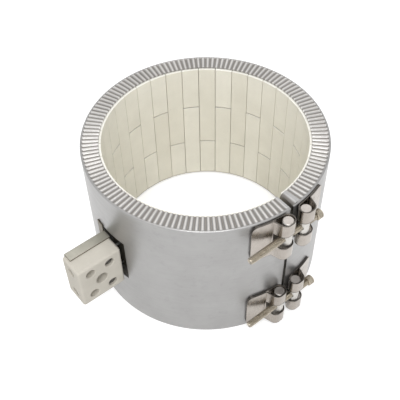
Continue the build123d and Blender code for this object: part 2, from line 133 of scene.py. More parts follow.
# Clamp straps
STRAP_SHEET = 0.8 * MM
STRAP_SEAT = 0.1 * MM
STRAP_EDGE = 0.12 * MM
PLY_GAP = 0.2 * MM
STRAP_OUTSIDE = SHELL_R + STRAP_SEAT + 2 * STRAP_SHEET + PLY_GAP
PLATE_END_ANGLE = math.radians(20.4)
PLATE_CORNER = 5.0 * MM
LOOP_CLEARANCE = 0.3 * MM
LOOP_SLACK = 2.3 * MM
NECK_REACH = 9.6 * MM
NECK_BEND = 1.2 * MM
STRAP_WINDOW = 5.9 * MM / STRAP_HALF
STRAP_ROWS = (-1.0, -0.84, -0.67, -STRAP_WINDOW, 0.0, STRAP_WINDOW, 0.67, 0.84, 1.0)
SHEET_SHARP = math.radians(50)

# Barrel pins
PIN_CHAMFER = 0.55 * MM
PIN_SIDES = 48
PIN_DRILL_SIDES = 32
NUT_HOLE_R = 2.55 * MM
PLAIN_HOLE_R = 2.85 * MM

# Clamp screws
SCREW_R = 2.5 * MM
THREAD_PITCH = 0.8 * MM
THREAD_DEPTH = 0.42 * MM
THREAD_SIDES = 24
THREAD_STEPS = 8
THREAD_CREST = 0.1
THREAD_ROOT = 0.85
POINT_LENGTH = 1.0 * MM
POINT_DEPTH = 1.3
NO_RADIUS = 0.01 * MM
HEAD_LENGTH = 5.0 * MM
HEAD_EDGE = 0.45 * MM
HEAD_ROUND_DROP = 0.12 * MM
HEAD_ROUND_INSET = 0.25 * MM
HEAD_END_INSET = 0.55 * MM
HEX_R = 2.31 * MM
HEX_DEPTH = 2.4 * MM
KNURL_COUNT = 36
KNURL_DEPTH = 0.14 * MM
KNURL_RUN_OUT = 0.15 * MM
KNURL_SHAPE = (0, 0.6, 1, 0.6)

# Terminal block
ROW_SPACING = 23.4 * MM
SCREW_SPACING = 15.8 * MM
SCREW_HOLE_R = 3.6 * MM
SCREW_HOLE_STOP = 2.0 * MM
CENTRE_HOLE_R = 4.7 * MM
CENTRE_HOLE_DEPTH = 12.0 * MM
CENTRE_DRILL_SIDES = 48
SHANK_HOLE_R = 2.15 * MM
SHANK_DRILL_SIDES = 24
WIRE_ENTRY_R = 3.7 * MM
CONNECTOR_POCKET = 8.2 * MM
POCKET_REACH = 12.1 * MM
BLOCK_ROUND = 2.0 * MM
HOLE_RIM = 0.5 * MM
DRILL_SIDES = 40
DRILL_START = 1.0 * MM
CUT_OVERRUN = 2.0 * MM
CUT_MERGE = 0.002 * MM

# Terminal screws: depth from the tip or from the head's top, and radius there
TIP_SECTION_MM = ((0.0, 1.6), (0.4, 2.0))
HEAD_SECTION_MM = ((2.0, 2.0), (2.0, 3.0), (0.6, 3.0), (0.15, 2.65), (0.0, 2.0))
FIXING_SIDES = 24
DRIVER_SLOT = 0.9 * MM
SLOT_TURN = 0.9
INNER_RISE = 2.8 * MM
OUTER_SHARE = 0.66
FIXING_SEED = 5

# Terminal bracket
BRACKET_SHEET = 1.0 * MM
BRACKET_SEAT = 0.1 * MM
BRACKET_BEND = 1.3 * MM
BRACKET_BEND_STEPS = 6
BRACKET_EDGE = 0.18 * MM
BRACKET_RIM = 0.6 * MM
FOOT_HALF = 21.5 * MM
FOOT_STEPS = 6

# Spot welds on the strap plates: height, share of the radius, and painted shade
WELD_SECTION = ((-0.10, 1.0, 0.9), (0.03, 1.0, 0.9), (0.09, 0.8, 0.0),
                (0.03, 0.55, 0.9), (0.05, 0.2, 0.0))
WELD_R = 1.7 * MM
WELD_SIDES = 20
WELD_ANGLE = math.radians(14.0)
WELD_SPACING = 21.0 * MM
WELD_COUNT = 8

# Noise patterns: scale, detail and roughness
SHEET_CLOUDS = (28.0, 4.0, 0.6)
SHEET_STAINS = (160.0, 5.0, 0.7)
METAL_GRAIN = (1.0, 2.0, 0.5)
CERAMIC_CLOUDS = (45.0, 4.0, 0.6)
CERAMIC_SPECKS = (900.0, 2.0, 0.5)
CERAMIC_PORES = (1500.0, 3.0, 0.6)
STEEL_TARNISH = (220.0, 4.0, 0.65)
FIBRE_STRANDS = (1.0, 5.0, 0.7)
FIBRE_CLUMPS = (120.0, 3.0, 0.6)
PATTERN_RANGE = (0.3, 0.7)
GRAIN_HEIGHT = 0.02 * MM
PORE_HEIGHT = 0.05 * MM
STRAND_HEIGHT = 0.3 * MM
WHITE = (1.0, 1.0, 1.0)

# Studio
FLOOR_HALF = 3.0
FLOOR_GAP = 0.05 * MM
FLOOR_TONE = 0.75
FLOOR_GLOW = 0.45
WORLD_LEVEL = 0.72
LAMP_SIZE = 0.9
LAMPS = (
    ("front", (0.75, -0.6, 1.3), 12.0),
    ("rear", (-0.8, 0.75, 1.1), 1.4),
    ("top", (-0.3, 0.1, 1.6), 4.0),
)
CAMERA_SPOT = (0.2874, -0.2321, 0.4129)
CAMERA_AIM = (-0.00289, -0.00369, -0.0119)
CAMERA_LENS = 63.64
CAMERA_SENSOR = 36.0
CAMERA_ROLL = math.radians(-1.32)
CAMERA_NEAR = 0.01


# Small helpers

def linked(name, data):
    made = bpy.data.objects.new(name, data)
    bpy.context.scene.collection.objects.link(made)
    return made


def new_piece(name):
    return linked(name, bpy.data.meshes.new(name))


def rework(piece, change):
    """Changes a piece's mesh in place."""
    bm = bmesh.new()
    bm.from_mesh(piece.data)
    change(bm)
    bm.normal_update()
    bm.to_mesh(piece.data)
    bm.free()
    return piece


def shaped(name, build):
    """A new piece with the mesh that build draws."""
    return rework(new_piece(name), build)


def finished(piece):
    """Turns a piece with modifiers into a plain mesh."""
    graph = bpy.context.evaluated_depsgraph_get()
    graph.update()
    mesh = bpy.data.meshes.new_from_object(piece.evaluated_get(graph), depsgraph=graph)
    name = piece.name
    old = piece.data
    piece.modifiers.clear()
    piece.data = mesh
    mesh.name = name
    bpy.data.meshes.remove(old)


def smooth(piece, degrees):
    """Smooth shading between sharp edges, with broad faces kept flat beside rounded edges."""
    for face in piece.data.polygons:
        face.use_smooth = True
    piece.data.set_sharp_from_angle(angle=math.radians(degrees))
    level = piece.modifiers.new("level", "WEIGHTED_NORMAL")
    level.mode = "FACE_AREA"
    level.weight = 80
    level.keep_sharp = True
    finished(piece)


def thicken(piece, sheet, offset=0.0, edge=0.0, edge_steps=1):
    """Gives a drawn sheet its thickness, and rounds its edges."""
    solid = piece.modifiers.new("sheet", "SOLIDIFY")
    solid.thickness = sheet
    solid.offset = offset
    if edge:
        rounded = piece.modifiers.new("edges", "BEVEL")
        rounded.width = edge
        rounded.segments = edge_steps
        rounded.limit_method = "ANGLE"
        rounded.angle_limit = SHEET_SHARP
    finished(piece)


def place(piece, sharp_degrees, slot_name, material, *nodes, body="heater"):
    """Shades a finished piece and puts it in place of its CAD nodes."""
    smooth(piece, sharp_degrees)
    piece.data.materials.clear()
    piece.data.materials.append(material)
    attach(piece, body)
    if nodes:
        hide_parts(*nodes)


def cut_with(piece, **cuts):
    """Cuts shapes out of a piece, each drawn by its own function."""
    tools = [shaped(name, build) for name, build in cuts.items()]
    for tool in tools:
        step = piece.modifiers.new("cut", "BOOLEAN")
        step.operation = "DIFFERENCE"
        step.solver = "EXACT"
        step.object = tool
    finished(piece)

    def clean(bm):
        bmesh.ops.remove_doubles(bm, verts=bm.verts, dist=CUT_MERGE)
        bmesh.ops.dissolve_degenerate(bm, edges=bm.edges, dist=CUT_MERGE)

    rework(piece, clean)
    for tool in tools:
        mesh = tool.data
        bpy.data.objects.remove(tool)
        bpy.data.meshes.remove(mesh)


def circle(radius, sides):
    """Points round a circle."""
    angles = [TURN * k / sides for k in range(sides)]
    return [(radius * math.cos(a), radius * math.sin(a)) for a in angles]


def skin(bm, rings):
    """Closes a stack of rings into a solid."""
    sides = len(rings[0])
    for low, high in zip(rings, rings[1:]):
        for k in range(sides):
            m = (k + 1) % sides
            bm.faces.new((low[k], low[m], high[m], high[k]))
    bm.faces.new(list(reversed(rings[0])))
    bm.faces.new(rings[-1])


def bore_cutter(bm, start, end, radius, rim=0.0, sides=DRILL_SIDES):
    """A drill shape from start to end, widened at the start by rim."""
    turn = (end - start).normalized().to_track_quat("Z", "Y").to_matrix().to_4x4()
    lay = Matrix.Translation(start) @ turn
    sections = [(-rim, radius + 2 * rim), (rim, radius)] if rim else [(-DRILL_START, radius)]
    sections.append(((end - start).length, radius))
    skin(bm, [[bm.verts.new(lay @ Vector((x, y, height))) for x, y in circle(r, sides)]
              for height, r in sections])


def box_cutter(bm, low, high):
    for v in bmesh.ops.create_cube(bm, size=1.0)["verts"]:
        v.co = Vector([low[i] + (v.co[i] + 0.5) * (high[i] - low[i]) for i in range(3)])


# Material helpers

def new_material(name):
    material = bpy.data.materials.new(name)
    material.use_nodes = True
    return material, material.node_tree, material.node_tree.nodes["Principled BSDF"]


def node(tree, kind, **settings):
    made = tree.nodes.new(kind)
    for key, value in settings.items():
        setattr(made, key, value)
    return made


def link(tree, source, target):
    tree.links.new(source, target)


def noise(tree, pattern, stretch=(1, 1, 1)):
    coords = node(tree, "ShaderNodeTexCoord")
    mapping = node(tree, "ShaderNodeMapping")
    mapping.inputs["Scale"].default_value = stretch
    link(tree, coords.outputs["Object"], mapping.inputs["Vector"])
    made = node(tree, "ShaderNodeTexNoise")
    for label, value in zip(("Scale", "Detail", "Roughness"), pattern):
        made.inputs[label].default_value = value
    link(tree, mapping.outputs["Vector"], made.inputs["Vector"])
    return made.outputs["Fac"]


def ramp(tree, value, stops):
    made = node(tree, "ShaderNodeValToRGB")
    band = made.color_ramp
    while len(band.elements) < len(stops):
        band.elements.new(0.5)
    for element, (spot, colour) in zip(band.elements, stops):
        element.position = spot
        element.color = (*colour, 1.0)
    link(tree, value, made.inputs["Fac"])
    return made.outputs["Color"]


def grey(value):
    return (value, value, value)


def tinted(tree, share, colour, tint):
    made = node(tree, "ShaderNodeMix", data_type="RGBA", blend_type="MULTIPLY")
    made.inputs[0].default_value = share
    link(tree, colour, made.inputs[6])
    link(tree, tint, made.inputs[7])
    return made.outputs[2]


def shaded(tree, colour, shades):
    """Tints a colour by the marks that the mesh carries."""
    for mark_name, stops in (shades or {}).items():
        mark = node(tree, "ShaderNodeAttribute", attribute_name=mark_name)
        colour = tinted(tree, 1.0, colour, ramp(tree, mark.outputs["Fac"], stops))
    return colour


def coat(tree, shader, colour, pattern, rough):
    """Sets the colour, and a roughness that follows a pattern."""
    link(tree, colour, shader.inputs["Base Color"])
    spread = node(tree, "ShaderNodeMapRange")
    labels = ("From Min", "From Max", "To Min", "To Max")
    for label, value in zip(labels, (*PATTERN_RANGE, *rough)):
        spread.inputs[label].default_value = value
    link(tree, pattern, spread.inputs["Value"])
    link(tree, spread.outputs["Result"], shader.inputs["Roughness"])


def bump(tree, shader, pattern, strength, height):
    made = node(tree, "ShaderNodeBump")
    made.inputs["Strength"].default_value = strength
    made.inputs["Distance"].default_value = height
    link(tree, pattern, made.inputs["Height"])
    link(tree, made.outputs["Normal"], shader.inputs["Normal"])


def sheet_metal(name, dark, light, metallic, rough, grain, grain_strength, shades):
    """Satin sheet: broad cloudy tone, fine rolling grain and a few stains."""
    material, tree, shader = new_material(name)
    base = ramp(tree, noise(tree, SHEET_CLOUDS), [(0.3, dark), (0.72, light)])
    spots = ramp(tree, noise(tree, SHEET_STAINS), [(0.28, grey(0.82)), (0.45, WHITE)])
    colour = shaded(tree, tinted(tree, 0.5, base, spots), shades)
    rolling = noise(tree, METAL_GRAIN, grain)
    coat(tree, shader, colour, rolling, rough)
    shader.inputs["Metallic"].default_value = metallic
    bump(tree, shader, rolling, grain_strength, GRAIN_HEIGHT)
    return material


def fired_ceramic(name, dark, light, shades=None):
    """Unglazed cream ceramic: cloudy tone, small specks and fine pores."""
    material, tree, shader = new_material(name)
    cloud = noise(tree, CERAMIC_CLOUDS)
    base = ramp(tree, cloud, [(0.3, dark), (0.7, light)])
    flecks = ramp(tree, noise(tree, CERAMIC_SPECKS), [(0.22, grey(0.72)), (0.32, WHITE)])
    colour = shaded(tree, tinted(tree, 0.55, base, flecks), shades)
    coat(tree, shader, colour, cloud, (0.62, 0.8))
    shader.inputs["Specular IOR Level"].default_value = 0.3
    bump(tree, shader, noise(tree, CERAMIC_PORES), 0.25, PORE_HEIGHT)
    return material


def plated_steel(name, dark, light, rough, grain, shades=None):
    """Turned and plated steel with fine rings across its axis."""
    material, tree, shader = new_material(name)
    tarnish = noise(tree, STEEL_TARNISH)
    base = ramp(tree, tarnish, [(0.3, dark), (0.65, light)])
    coat(tree, shader, shaded(tree, base, shades), tarnish, (rough, rough + 0.14))
    shader.inputs["Metallic"].default_value = 1.0
    bump(tree, shader, noise(tree, METAL_GRAIN, grain), 0.2, GRAIN_HEIGHT)
    return material


def fibre_blanket(name, dark, light):
    """Matt fibre in fine flat strands."""
    material, tree, shader = new_material(name)
    strands = noise(tree, FIBRE_STRANDS, (900, 900, 2500))
    base = ramp(tree, noise(tree, FIBRE_CLUMPS), [(0.3, dark), (0.7, light)])
    coat(tree, shader, base, strands, (0.85, 0.98))
    bump(tree, shader, strands, 0.6, STRAND_HEIGHT)
    return material


# The flange mark paints a highlight on the ridges, and shade in the valleys, along the crease and
# down the curled flaps
SHELL_METAL = sheet_metal(
    "satin_shell_sheet", (0.338, 0.334, 0.33), (0.385, 0.381, 0.377), metallic=0.95,
    rough=(0.34, 0.44), grain=(60, 60, 900), grain_strength=0.12,
    shades={"painted_flange_light": [(0.0, (1.42, 1.39, 1.35)), (0.4, WHITE), (0.55, WHITE),
                       (1.0, (0.6, 0.565, 0.525))]})
# Painted shade along the strap's edges
STRAP_METAL = sheet_metal(
    "bright_strap_sheet", (0.32, 0.288, 0.257), (0.50, 0.462, 0.422), metallic=1.0,
    rough=(0.22, 0.32), grain=(700, 60, 60), grain_strength=0.1,
    shades={"painted_sheet_shade": [(0.8, WHITE), (0.96, grey(0.3))]})
# Painted shadow along the lip's edges, and painted shade on the foot
BRACKET_METAL = sheet_metal(
    "dull_bracket_sheet", (0.28, 0.27, 0.225), (0.42, 0.405, 0.35), metallic=0.85,
    rough=(0.4, 0.55), grain=(60, 400, 400), grain_strength=0.15,
    shades={"painted_sheet_shade": [(0.8, WHITE), (0.96, (0.5, 0.46, 0.43))]})
# Tile marks: a tone that differs at random, painted shade on the lower ends, a painted highlight
# on the upper ends, and painted shade at the backs, deep in the joints
TILE_CERAMIC = fired_ceramic(
    "cream_tile_ceramic", (0.835, 0.81, 0.72), (0.90, 0.875, 0.785),
    shades={"tile_tone": [(0.0, (0.94, 0.935, 0.92)), (1.0, WHITE)],
            "tile_end_painted_light": [(0.0, (0.5, 0.47, 0.42)), (0.42, WHITE), (0.55, WHITE),
                         (0.8, (1.02, 1.03, 1.07))],
            "tile_back_painted_shade": [(0.75, WHITE), (0.98, (0.11, 0.1, 0.088))]})
BLOCK_CERAMIC = fired_ceramic(
    "cream_block_ceramic", (0.51, 0.48, 0.42), (0.58, 0.55, 0.485))
# Painted shade on the pins' end faces
PIN_STEEL = plated_steel(
    "turned_pin_steel", (0.50, 0.485, 0.46), (0.66, 0.64, 0.61), rough=0.38,
    grain=(60, 60, 3000), shades={"pin_end_painted_shade": [(0.5, WHITE), (0.95, (0.74, 0.71, 0.7))]})
# Painted shade in the thread roots and knurl notches
SCREW_STEEL = plated_steel(
    "yellow_zinc_steel", (0.42, 0.37, 0.295), (0.56, 0.505, 0.415), rough=0.24,
    grain=(60, 3000, 60), shades={"thread_root_painted_shade": [(0.3, WHITE), (0.9, grey(0.4))]})
FIXING_STEEL = plated_steel(
    "dark_zinc_steel", (0.07, 0.066, 0.06), (0.20, 0.19, 0.17), rough=0.35,
    grain=(3000, 60, 60))
BRASS = plated_steel(
    "connector_brass", (0.42, 0.30, 0.11), (0.60, 0.45, 0.20), rough=0.3,
    grain=(60, 3000, 60))
WIRE_METAL = plated_steel(
    "lead_wire_metal", (0.22, 0.22, 0.21), (0.34, 0.34, 0.33), rough=0.35,
    grain=(60, 3000, 60))
# Near-black fibre: painted shade for the cavity seen through the terminal window
FIBRE = fibre_blanket("fibre_painted_shade", (0.055, 0.052, 0.046), (0.14, 0.132, 0.118))


# Geometry-node helpers

class Tree:
    """A geometry tree whose sizes are named inputs."""

    def __init__(self, name, **sizes):
        self.group = bpy.data.node_groups.new(name, "GeometryNodeTree")
        face = self.group.interface
        face.new_socket("Geometry", in_out="INPUT", socket_type="NodeSocketGeometry")
        for label, value in sizes.items():
            kind = "NodeSocketInt" if isinstance(value, int) else "NodeSocketFloat"
            socket = face.new_socket(label.replace("_", " "), in_out="INPUT", socket_type=kind)
            socket.default_value = value
        face.new_socket("Geometry", in_out="OUTPUT", socket_type="NodeSocketGeometry")
        self.input = self.group.nodes.new("NodeGroupInput")
        self.output = self.group.nodes.new("NodeGroupOutput")

    def size(self, label):
        return self.input.outputs[label]

    def add(self, kind, inputs=None, **settings):
        made = self.group.nodes.new(kind)
        for key, value in settings.items():
            setattr(made, key, value)
        for key, value in (inputs or {}).items():
            if isinstance(value, bpy.types.NodeSocket):
                self.group.links.new(value, made.inputs[key])
            else:
                made.inputs[key].default_value = value
        return made

    def math(self, operation, *values):
        made = self.add("ShaderNodeMath", dict(enumerate(values)), operation=operation)
        return made.outputs[0]

    def plus(self, a, b):
        return self.math("ADD", a, b)

    def minus(self, a, b):
        return self.math("SUBTRACT", a, b)

    def times(self, first, *others):
        for other in others:
            first = self.math("MULTIPLY", first, other)
        return first

    def ease(self, value, low, high, out_low=0.0, out_high=1.0):
        """Leads softly from one value to another."""
        made = self.add("ShaderNodeMapRange", {
            "Value": value, "From Min": low, "From Max": high,
            "To Min": out_low, "To Max": out_high}, interpolation_type="SMOOTHSTEP")
        return made.outputs["Result"]

    def here(self):
        return self.add("GeometryNodeInputPosition").outputs[0]

    def index(self):
        return self.add("GeometryNodeInputIndex").outputs[0]

    def split(self, vector):
        return self.add("ShaderNodeSeparateXYZ", {"Vector": vector}).outputs

    def join(self, x, y, z):
        return self.add("ShaderNodeCombineXYZ", {"X": x, "Y": y, "Z": z}).outputs["Vector"]

    def polar(self, radius, angle, z):
        return self.join(self.times(radius, self.math("COSINE", angle)),
                         self.times(radius, self.math("SINE", angle)), z)

    def around_axis(self, x, y):
        """Distance from the Z axis and angle round it."""
        radius = self.math("SQRT", self.plus(self.times(x, x), self.times(y, y)))
        return radius, self.math("ARCTAN2", y, x)

    def random(self, seed, low, high):
        made = self.add("FunctionNodeRandomValue", {"Seed": seed, 2: low, 3: high},
                        data_type="FLOAT")
        return made.outputs[1]

    def mark(self, geometry, name, value, domain="POINT"):
        """Stores a value that the materials read."""
        return self.add("GeometryNodeStoreNamedAttribute", {
            "Geometry": geometry, "Name": name, "Value": value},
            data_type="FLOAT", domain=domain).outputs[0]

    def move(self, geometry, spot):
        return self.add("GeometryNodeSetPosition", {
            "Geometry": geometry, "Position": spot}).outputs[0]

    def repeat(self, points, rotation, scale=(1.0, 1.0, 1.0)):
        """Sets the shape that comes in on every point."""
        return self.add("GeometryNodeInstanceOnPoints", {
            "Points": points, "Instance": self.size("Geometry"),
            "Rotation": rotation, "Scale": scale}).outputs[0]

    def without(self, geometry, *pairs):
        """Takes out the faces where the first value of every pair is the smaller one."""
        chosen = True
        for a, b in pairs:
            smaller = self.add("FunctionNodeCompare", {0: a, 1: b},
                               data_type="FLOAT", operation="LESS_THAN").outputs[0]
            chosen = self.add("FunctionNodeBooleanMath", {0: chosen, 1: smaller},
                              operation="AND").outputs[0]
        return self.add("GeometryNodeDeleteGeometry", {
            "Geometry": geometry, "Selection": chosen}, domain="FACE").outputs[0]

    def end(self, geometry, material):
        realized = self.add("GeometryNodeRealizeInstances", {"Geometry": geometry})
        painted = self.add("GeometryNodeSetMaterial", {
            "Geometry": realized.outputs[0], "Material": material})
        self.group.links.new(painted.outputs[0], self.output.inputs[0])
        return self

    def apply_to(self, piece, **changes):
        step = piece.modifiers.new(self.group.name, "NODES")
        step.node_group = self.group
        sockets = {item.name: item.identifier for item in self.group.interface.items_tree
                   if item.item_type == "SOCKET" and item.in_out == "INPUT"}
        for label, value in changes.items():
            step[sockets[label.replace("_", " ")]] = value
        finished(piece)


# Folded shell with corrugated flanges

def shell_profile():
    """Half section of the sheet's outside, from the lower flange's edge to the upper one's."""
    upper = [(SHELL_R, WINDOW_HIGH), (SHELL_R, WALL_ROW)]
    for k in range(FOLD_STEPS + 1):
        a = QUARTER * k / FOLD_STEPS
        upper.append((FOLD_START + FOLD_RADIUS * math.cos(a),
                      HALF_HEIGHT - FOLD_RADIUS * (1 - math.sin(a))))
    for row in FLANGE_ROWS_MM:
        upper.append((FOLD_START - row * MM, HALF_HEIGHT))
    upper.append((FLANGE_R + FLANGE_EDGE_WIDTH, HALF_HEIGHT))
    upper.append((FLANGE_R, HALF_HEIGHT - FLANGE_EDGE_DROP))
    lower = [(r, -z) for r, z in reversed(upper)]
    lower[-1] = (SHELL_R, WINDOW_LOW)
    return lower + [(SHELL_R, WINDOW_Z)] + upper


def shell_tree(**sizes):
    """Turns the profile round the axis, presses the grooves and opens the window."""
    tree = Tree("corrugated_shell", **sizes)
    size = tree.size
    last_column = tree.minus(size("Steps round"), 1.0)
    last_row = tree.minus(size("Profile points"), 1.0)
    grid = tree.add("GeometryNodeMeshGrid", {
        "Size X": last_column, "Size Y": last_row,
        "Vertices X": size("Steps round"), "Vertices Y": size("Profile points")})
    x, y, _ = tree.split(tree.here())
    column = tree.math("ROUND", tree.plus(x, tree.times(last_column, 0.5)))
    row = tree.math("ROUND", tree.plus(y, tree.times(last_row, 0.5)))
    section = tree.add("GeometryNodeSampleIndex", {
        "Geometry": size("Geometry"), "Index": row, "Value": tree.here()},
        data_type="FLOAT_VECTOR", domain="POINT")
    radius, _, height = tree.split(section.outputs[0])
    angle = tree.math("MULTIPLY_ADD", column, size("Angle step"), size("First angle"))
    # wave round the flange, held flat at both plain ends
    phase = tree.math("DIVIDE", tree.minus(angle, size("Groove start")), size("Groove pitch"))
    valley = tree.ease(tree.math("COSINE", tree.times(phase, TURN)), RIDGE_LEVEL, VALLEY_LEVEL)
    inside = tree.times(tree.math("GREATER_THAN", angle, size("Groove start")),
                        tree.math("LESS_THAN", angle, size("Groove end")))
    groove_r, end_round = size("Groove outer radius"), size("Groove end round")
    run_in = tree.ease(radius, groove_r, tree.minus(groove_r, end_round))
    drop = tree.times(valley, inside, run_in, size("Groove depth"), tree.math("SIGN", height))
    # 0 on a ridge, 0.5 on plain sheet, 1 in a valley, and darker along the crease; the material
    # paints these as a highlight on the ridges and shade in the valleys and the crease
    swing = tree.times(inside, run_in, tree.minus(valley, PLAIN_MARK))
    from_crease = tree.math("ABSOLUTE", tree.minus(radius, groove_r))
    crease = tree.ease(from_crease, 0.0, end_round, CREASE_SHADE_MARK, 0.0)
    marked = tree.mark(grid.outputs["Mesh"], "painted_flange_light",
                       tree.plus(tree.plus(PLAIN_MARK, swing), crease))
    pressed = tree.move(marked, tree.polar(radius, angle, tree.minus(height, drop)))
    # terminal window, and room for the curled flaps
    x, y, z = tree.split(tree.here())
    face_r, face_angle = tree.around_axis(x, y)
    opened = tree.without(
        pressed, (size("Window first angle"), face_angle), (face_angle, size("Window last angle")),
        (size("Window low"), z), (z, size("Window high")))
    trimmed = tree.without(
        opened, (0.0, face_angle), (face_angle, size("Flange end angle")),
        (face_r, size("Flange radius")), (size("Flange height"), tree.math("ABSOLUTE", z)))
    return tree.end(trimmed, SHELL_METAL)


def add_flap(bm, side):
    """Curled end of a flange beside the split, with painted shade along its bend."""
    outer_r = FOLD_START - SHEET
    split_y = SPLIT_GAP / 2
    line = []
    for k in range(FLAP_BEND_STEPS + 1):
        a = QUARTER * k / FLAP_BEND_STEPS
        line.append((split_y + FLAP_BEND - FLAP_BEND * math.sin(a),
                     HALF_HEIGHT - FLAP_BEND * (1 - math.cos(a))))
    for row in FLAP_ROWS:
        line.append((split_y, HALF_HEIGHT - FLAP_BEND - row * (FLAP_DEPTH - FLAP_BEND)))
    flange_light_mark = bm.verts.layers.float["painted_flange_light"]
    columns = []
    for k in range(FLAP_COLUMNS + 1):
        r = FLANGE_R + (outer_r - FLANGE_R) * k / FLAP_COLUMNS
        columns.append([bm.verts.new((math.sqrt(r * r - y * y), y, side * z)) for y, z in line])
        for v in columns[-1]:
            # painted shade down the bend, in place of a dark reflection
            painted_darkness = min(1.0, (HALF_HEIGHT - side * v.co.z) / FLAP_SHADE_DROP)
            v[flange_light_mark] = PLAIN_MARK + (1.0 - PLAIN_MARK) * painted_darkness
    for a, b in zip(columns, columns[1:]):
        for k in range(len(line) - 1):
            corners = (a[k], a[k + 1], b[k + 1], b[k])
            bm.faces.new(corners if side > 0 else tuple(reversed(corners)))


def press_shell():
    profile = shell_profile()

    def profile_line(bm):
        points = [bm.verts.new((r, 0, z)) for r, z in profile]
        for a, b in zip(points, points[1:]):
            bm.edges.new((a, b))

    def reach_angle(reach):
        return math.asin(reach / SHELL_R)

    zone_right = reach_angle(SPLIT_GAP / 2 + PLAIN_END_RIGHT)
    zone_left = reach_angle(SPLIT_GAP / 2 + PLAIN_END_LEFT)
    pitch = (TURN - zone_right - zone_left) / GROOVE_COUNT
    step = pitch / GROOVE_STEPS
    edge_angle = reach_angle(SPLIT_GAP / 2)
    right_steps = round((zone_right - edge_angle) / step)
    left_steps = round((zone_left - edge_angle) / step)
    window_x = block_low.x - WINDOW_PLAY
    shell = shaped("outer_shell_sheet", profile_line)
    shell_tree(
        Steps_round=right_steps + GROOVE_COUNT * GROOVE_STEPS + left_steps + 1,
        Profile_points=len(profile),
        First_angle=zone_right - right_steps * step, Angle_step=step,
        Groove_start=zone_right, Groove_end=TURN - zone_left,
        Groove_pitch=pitch, Groove_depth=GROOVE_DEPTH,
        Groove_outer_radius=FOLD_START - GROOVE_FOLD_MARGIN, Groove_end_round=GROOVE_END_ROUND,
        Window_first_angle=reach_angle(window_x) - QUARTER,
        Window_last_angle=reach_angle(window_x + WINDOW_WIDTH) - QUARTER,
        Window_low=WINDOW_LOW, Window_high=WINDOW_HIGH,
        Flange_end_angle=reach_angle(SPLIT_GAP / 2 + FLAP_BEND),
        Flange_height=HALF_HEIGHT - 2 * SHEET, Flange_radius=FOLD_START,
    ).apply_to(shell)

    def add_flaps(bm):
        # the sheet grows inwards, so its faces look outwards
        wall = max(bm.faces, key=lambda f: f.calc_area())
        outward = wall.calc_center_median()
        outward.z = 0
        wall.normal_update()
        if wall.normal.dot(outward) < 0:
            bmesh.ops.reverse_faces(bm, faces=bm.faces)
        add_flap(bm, 1)
        add_flap(bm, -1)

    rework(shell, add_flaps)
    thicken(shell, SHEET, offset=-1.0)
    place(shell, 40, "shell", SHELL_METAL, "outer_shell")


# Ceramic tiles in brick bond

def tile_tree(first_angle, angle_step):
    """Sets one tile round the bore, each a little further out and of its own tone."""
    tree = Tree("tile_courses", Columns=TILE_COLUMNS // 2, First_angle=first_angle,
                Angle_step=angle_step, Seat_play=TILE_SEAT_PLAY, Seed=1)
    size = tree.size
    points = tree.add("GeometryNodePoints", {"Count": size("Columns")})
    angle = tree.math("MULTIPLY_ADD", tree.index(), size("Angle step"), size("First angle"))
    placed = tree.repeat(points.outputs[0], tree.join(0.0, 0.0, angle))
    play = tree.random(tree.plus(size("Seed"), SEAT_SEED), 0.0, size("Seat play"))
    shifted = tree.add("GeometryNodeTranslateInstances", {
        "Instances": placed, "Translation": tree.join(play, 0.0, 0.0), "Local Space": True})
    tone = tree.random(tree.plus(size("Seed"), TONE_SEED), 0.0, 1.0)
    return tree.end(tree.mark(shifted.outputs[0], "tile_tone", tone, "INSTANCE"), TILE_CERAMIC)


def cut_tiles():
    first = math.asin(TILE_END_MARGIN / BORE_R)
    pitch = (TURN - 2 * first) / TILE_COLUMNS
    half = pitch / 2
    face_half = half - TILE_JOINT / 2 / BORE_R
    back_r = BORE_R + TILE_THICKNESS
    back_half = back_r * math.tan(half) - TILE_JOINT / 2 / math.cos(half)
    face_angles = [face_half - 2 * face_half * k / TILE_FACE_STEPS
                   for k in range(TILE_FACE_STEPS + 1)]
    outline = [(BORE_R * math.cos(a), BORE_R * math.sin(a)) for a in face_angles]
    outline += [(back_r, -back_half), (back_r, back_half)]

    def tile_shape(low, high, shade_height):
        def build(bm):
            back_shade_mark = bm.verts.layers.float.new("tile_back_painted_shade")
            painted_end_mark = bm.verts.layers.float.new("tile_end_painted_light")
            skin(bm, [[bm.verts.new((x, y, z)) for x, y in outline]
                      for z in (low, low + shade_height, high)])
            bm.normal_update()
            sharp = [e for e in bm.edges if e.calc_face_angle(0) > TILE_SHARP]
            bmesh.ops.bevel(bm, geom=sharp, offset=TILE_ROUND, segments=2,
                            profile=TILE_ROUND_PROFILE, affect="EDGES")
            for v in bm.verts:
                # painted shade at the back, which shows deep in the joints
                v[back_shade_mark] = 1.0 if v.co.x > back_r - BACK_REACH else 0.0
                # 0 on the lower end with painted shade, 1 on the upper end with a painted
                # highlight
                v[painted_end_mark] = PLAIN_MARK
                if v.co.z < low + SHADE_REACH:
                    v[painted_end_mark] = 0.0
                elif v.co.z > high - HIGHLIGHT_REACH:
                    v[painted_end_mark] = 1.0
        return build

    tree = tile_tree(first, 2 * pitch)
    for node_name, column, tiles, seed, shade_height in TILE_COURSES:
        low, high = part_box(node_name)
        course = shaped(node_name + "_course", tile_shape(
            low.z + TILE_COURSE_TRIM, high.z - TILE_COURSE_TRIM, shade_height))
        tree.apply_to(course, Columns=tiles, First_angle=first + (column + 0.5) * pitch, Seed=seed)
        place(course, 50, "tile", TILE_CERAMIC, node_name)


# Clamp straps, each one sheet folded round a barrel pin

